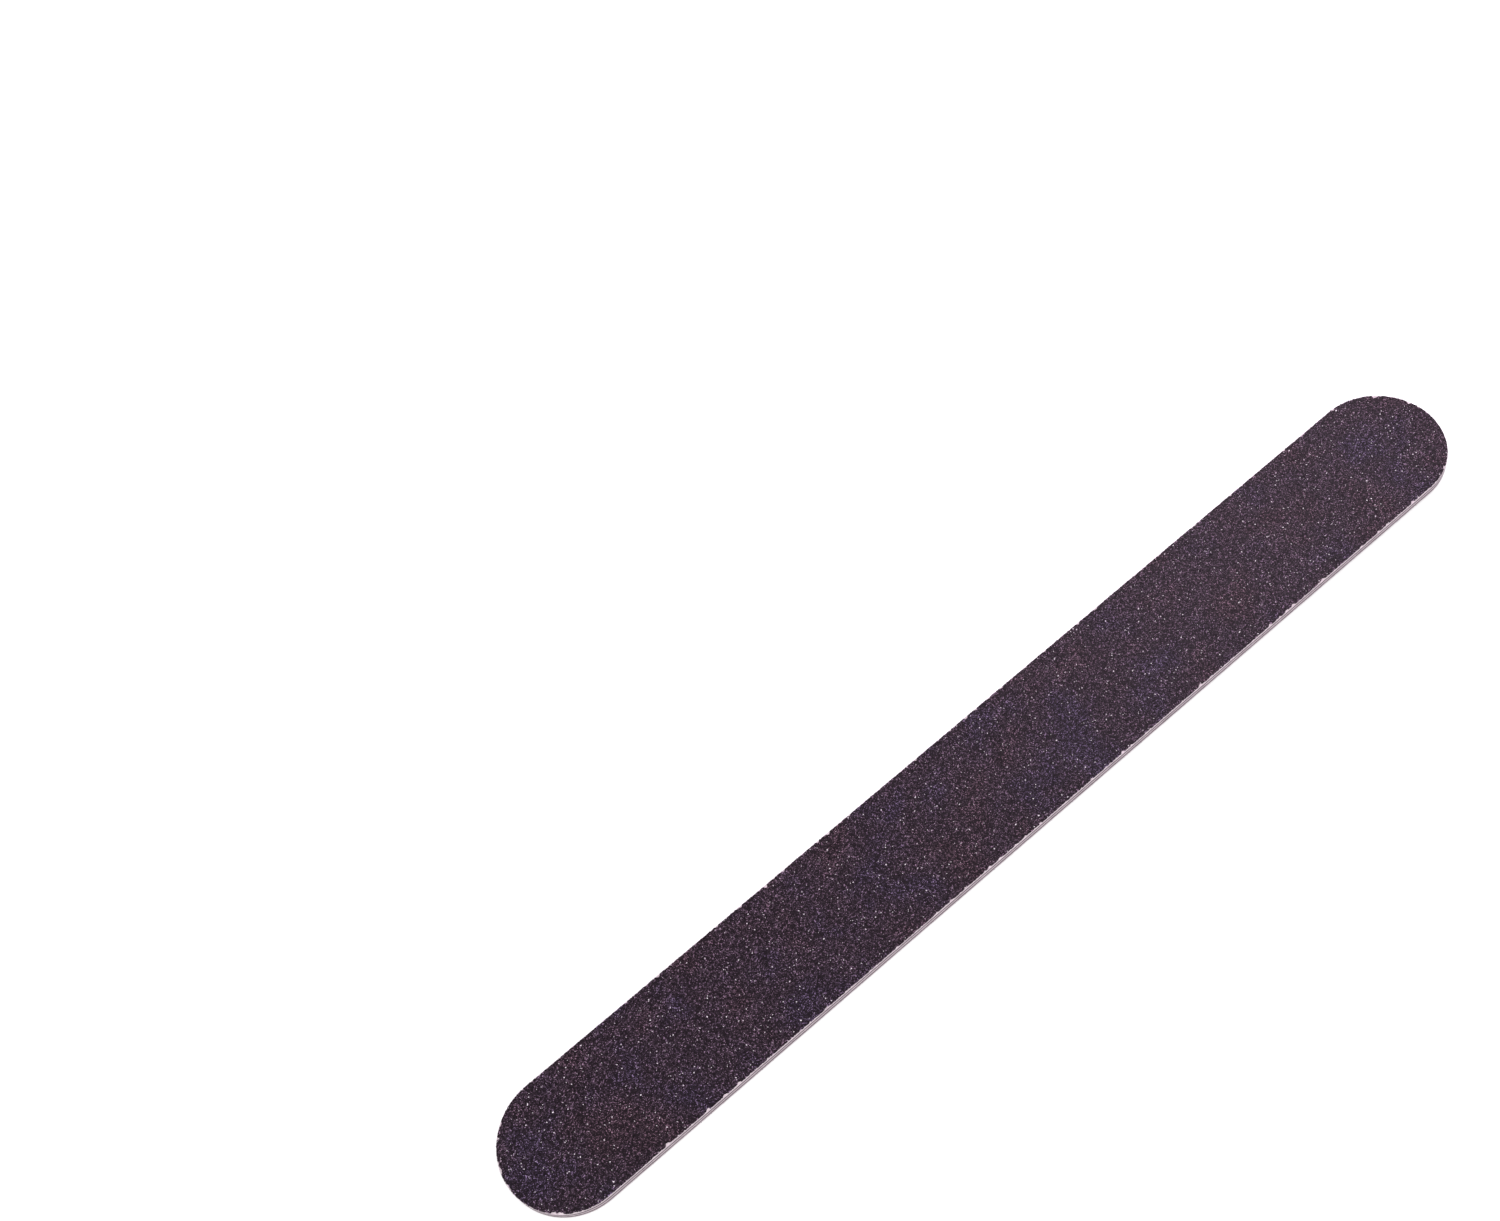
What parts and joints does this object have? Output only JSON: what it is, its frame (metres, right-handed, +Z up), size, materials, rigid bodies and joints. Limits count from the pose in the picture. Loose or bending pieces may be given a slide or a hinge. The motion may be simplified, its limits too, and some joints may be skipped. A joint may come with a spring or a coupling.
{
  "type": "emery board",
  "caption": "Flat double-sided emery board with half-round ends: coarse and fine abrasive papers laminated to a card core.",
  "frame": {"origin": "centre of the board on the plane it rests on, under the fine side", "axes": "+X along the board, +Y across it, +Z up through the layers towards the coarse side"},
  "size_m": [0.178, 0.02, 0.0021],
  "materials": {
    "coarse_grain": "satin",
    "fine_grain": "matte",
    "bond_resin": "satin",
    "backing_paper": "matte",
    "core_card": "matte",
    "laminating_glue": "satin"
  },
  "bodies": {
    "root": {"coarse_grain_layer": "coarse_grain", "coarse_bond_coat": "bond_resin", "coarse_backing_paper": "backing_paper", "coarse_glue_film": "laminating_glue", "card_core": "core_card", "fine_glue_film": "laminating_glue", "fine_backing_paper": "backing_paper", "fine_bond_coat": "bond_resin", "fine_grain_layer": "fine_grain"}
  },
  "joints": []
}
